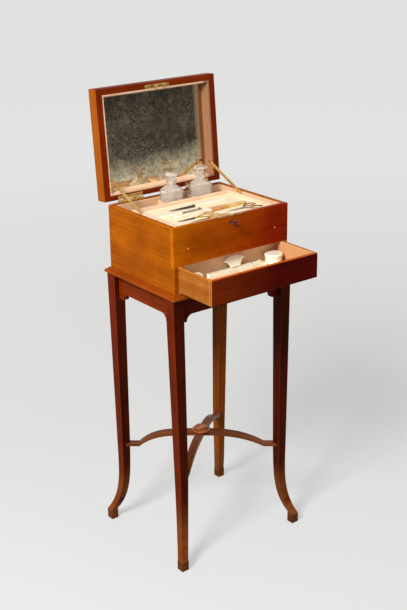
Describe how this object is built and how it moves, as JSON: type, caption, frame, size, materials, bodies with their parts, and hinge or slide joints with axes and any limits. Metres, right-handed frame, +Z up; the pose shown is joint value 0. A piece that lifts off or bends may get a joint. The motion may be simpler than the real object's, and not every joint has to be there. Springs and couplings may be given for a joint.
{
  "type": "fitted dressing box on a stand",
  "caption": "Antique wooden dressing box with mirror lid, front drawer, lift-out tray of toilet implements and glass bottles, on a stand with curved legs and crossed stretchers.",
  "frame": {"origin": "centre of the outline's underside, on the floor, with the lid open and the drawer out", "axes": "+Z up, +X to the right seen from the front, -Y towards the front, where the drawer opens"},
  "size_m": [0.3704, 0.431, 1.1093],
  "materials": {
    "mahogany": "polished mahogany",
    "mahogany_edge": "polished mahogany moulding",
    "pine": "plain wood",
    "pink_cloth": "faded pink cloth",
    "cream_cloth": "faded cream satin",
    "ivory": "polished ivory",
    "brass": "worn brass",
    "steel": "worn steel",
    "leather": "tan leather",
    "glass": "clear glass",
    "mirror_glass": "spotted old mirror"
  },
  "bodies": {
    "root": {"leg_front_left": "mahogany", "leg_front_right": "mahogany", "leg_back_left": "mahogany", "leg_back_right": "mahogany", "apron_front": "mahogany", "apron_back": "mahogany", "apron_left": "mahogany", "apron_right": "mahogany", "stretcher_under": "mahogany_edge", "stretcher_over": "mahogany_edge", "stretcher_boss": "mahogany_edge", "stand_top": "mahogany_edge", "case_side_left": "mahogany", "case_side_right": "mahogany", "case_back": "mahogany", "case_front": "mahogany", "case_bottom": "pine", "dust_board": "pine", "case_lining": "pink_cloth", "implement_tray": "cream_cloth", "well_rack": "pink_cloth", "hinge_leaves_case": "brass", "hinge_pins": "brass", "hinge_screws_case": "brass", "lock_case": "brass", "escutcheon": "brass", "front_studs": "brass", "table_knife": "ivory", "button_hook": "ivory", "nail_buffer": "leather", "embroidery_scissors": "brass", "nail_scissors": "steel", "penknife": "ivory"},
    "lid": {"lid_frame": "mahogany", "lid_board": "mahogany", "lid_lining": "pink_cloth", "mirror": "mirror_glass", "strike_plate": "brass", "hinge_leaves_lid": "brass", "hinge_screws_lid": "brass", "stay_pivots": "brass"},
    "stay_left": {"stay_left": "brass"},
    "stay_right": {"stay_right": "brass"},
    "drawer": {"drawer_front": "mahogany", "drawer_side_left": "mahogany", "drawer_side_right": "mahogany", "drawer_back": "mahogany", "drawer_bottom": "pine", "drawer_lining": "pink_cloth", "powder_pot": "ivory", "powder_pot_lid": "ivory", "glove_stretcher": "ivory", "crescent_polisher": "ivory", "small_ivory_case": "ivory"},
    "bottles": {"bottle_left": "glass", "bottle_right": "glass", "stopper_left": "glass", "stopper_right": "glass"},
    "key": {"key": "steel"},
    "lock_bolt": {"lock_bolt": "steel"}
  },
  "joints": [
    {"name": "lid", "type": "hinge", "parent": "root", "child": "lid", "pos_m": [0, 0.16346, 0.8453], "axis": [1, 0, 0], "range_deg": [0, 94.67]},
    {"name": "drawer", "type": "slide", "parent": "root", "child": "drawer", "axis": [0, -1, 0], "range_m": [-0.1186, 0.008]},
    {"name": "bottles", "type": "slide", "parent": "root", "child": "bottles", "axis": [0, 0, -1], "range_m": [0, 0.0421]},
    {"name": "stay_left", "type": "hinge", "parent": "lid", "child": "stay_left", "pos_m": [-0.1448, 0.17101, 0.89726], "axis": [1, 0, 0], "range_deg": [-116.3, 0]},
    {"name": "stay_right", "type": "hinge", "parent": "lid", "child": "stay_right", "pos_m": [0.1448, 0.17101, 0.89726], "axis": [1, 0, 0], "range_deg": [-116.3, 0]},
    {"name": "key", "type": "hinge", "parent": "root", "child": "key", "pos_m": [0, -0.09694, 0.8298], "axis": [0, -1, 0], "range_deg": [-5, 95]},
    {"name": "lock_bolt", "type": "slide", "parent": "root", "child": "lock_bolt", "axis": [1, 0, 0], "range_m": [0, 0.005]}
  ],
  "couplings": [
    {"joint": "bottles", "follows": "lid", "m_per_rad": 0.025419},
    {"joint": "stay_left", "follows": "lid", "ratio": -1.2265},
    {"joint": "stay_right", "follows": "lid", "ratio": -1.2265},
    {"joint": "key", "follows": "lock_bolt", "rad_per_m": 314}
  ]
}
